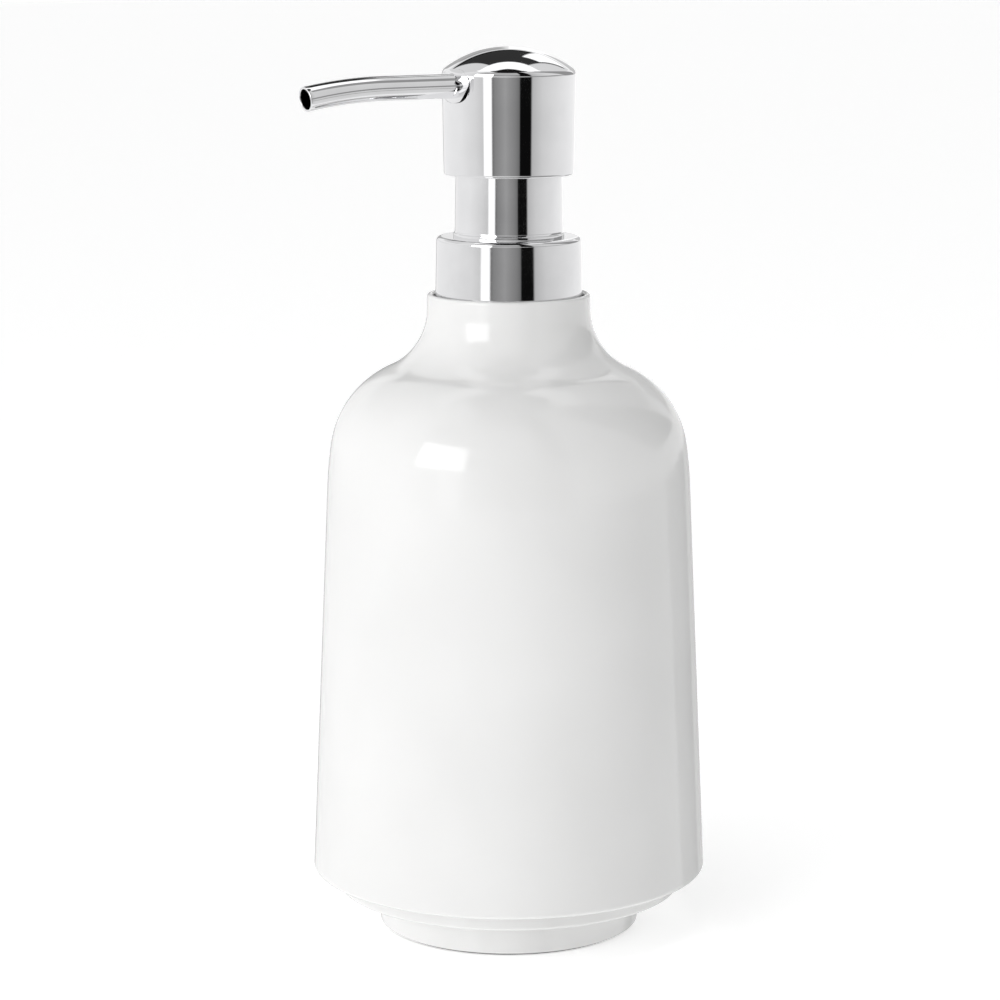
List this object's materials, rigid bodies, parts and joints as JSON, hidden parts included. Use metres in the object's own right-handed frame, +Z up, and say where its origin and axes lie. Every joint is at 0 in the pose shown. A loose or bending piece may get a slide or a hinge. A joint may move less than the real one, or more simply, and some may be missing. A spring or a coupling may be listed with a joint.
{
  "type": "soap pump dispenser",
  "caption": "Countertop soap pump dispenser: white tapered bottle on a stepped foot, with a polished sprung pump, domed head and slim bent spout.",
  "frame": {"origin": "centre of the foot pad's underside, on the table", "axes": "+Z up along the axis of the bottle and the pump, -X the way the spout points at rest"},
  "size_m": [0.0921, 0.085, 0.1897],
  "materials": {
    "bottle_white": "high-gloss moulded",
    "base_white": "gloss moulded",
    "pad_rubber": "matte",
    "insert_plastic": "satin moulded",
    "gasket_rubber": "matte",
    "pump_plastic": "satin moulded",
    "guide_plastic": "satin moulded",
    "tube_plastic": "translucent extruded",
    "cage_plastic": "satin moulded",
    "ball_steel": "ground",
    "closure_plastic": "satin moulded",
    "collar_chrome": "polished with faint brushing",
    "sleeve_chrome": "polished with faint brushing",
    "spring_steel": "drawn wire",
    "head_chrome": "mirror polished",
    "core_plastic": "satin moulded",
    "spout_chrome": "mirror polished",
    "stem_plastic": "satin moulded",
    "piston_plastic": "soft moulded",
    "cap_plastic": "satin moulded",
    "valve_ball_steel": "ground"
  },
  "bodies": {
    "bottle": {"bottle_body": "bottle_white", "base_plug": "base_white", "foot_pad": "pad_rubber", "neck_insert": "insert_plastic"},
    "gasket": {"neck_gasket": "gasket_rubber"},
    "housing": {"pump_housing": "pump_plastic", "stem_guide": "guide_plastic", "dip_tube": "tube_plastic", "ball_cage": "cage_plastic"},
    "closure": {"closure": "closure_plastic", "collar_cover": "collar_chrome", "sleeve_cover": "sleeve_chrome"},
    "spring": {"return_spring": "spring_steel"},
    "head": {"head_shell": "head_chrome", "actuator_core": "core_plastic", "spout": "spout_chrome", "stem": "stem_plastic", "piston": "piston_plastic", "spring_cap": "cap_plastic"},
    "inlet_ball": {"inlet_ball": "ball_steel"},
    "outlet_ball": {"outlet_ball": "valve_ball_steel"}
  },
  "joints": [
    {"name": "pump_lift", "type": "slide", "parent": "bottle", "child": "gasket", "axis": [0, 0, 1], "range_m": [0, 0.14]},
    {"name": "pump_rise", "type": "slide", "parent": "gasket", "child": "housing", "axis": [0, 0, 1], "range_m": [0, 0.0074]},
    {"name": "closure_turn", "type": "hinge", "parent": "housing", "child": "closure", "pos_m": [0, 0, 0.14], "axis": [0, 0, 1], "range_deg": [0, 630]},
    {"name": "head_swivel", "type": "hinge", "parent": "housing", "child": "spring", "pos_m": [0, 0, 0.14], "axis": [0, 0, 1], "continuous": true},
    {"name": "press", "type": "slide", "parent": "spring", "child": "head", "axis": [0, 0, -1], "range_m": [0, 0.012], "stiffness_N_per_m": 600, "springref_m": -0.01, "deforming": ["return_spring"]},
    {"name": "inlet_ball_lift", "type": "slide", "parent": "housing", "child": "inlet_ball", "axis": [0, 0, 1], "range_m": [0, 0.0015]},
    {"name": "outlet_ball_lift", "type": "slide", "parent": "head", "child": "outlet_ball", "axis": [0, 0, 1], "range_m": [0, 0.0015]}
  ],
  "couplings": [
    {"joint": "pump_rise", "follows": "closure_turn", "m_per_rad": 0.00066845}
  ]
}
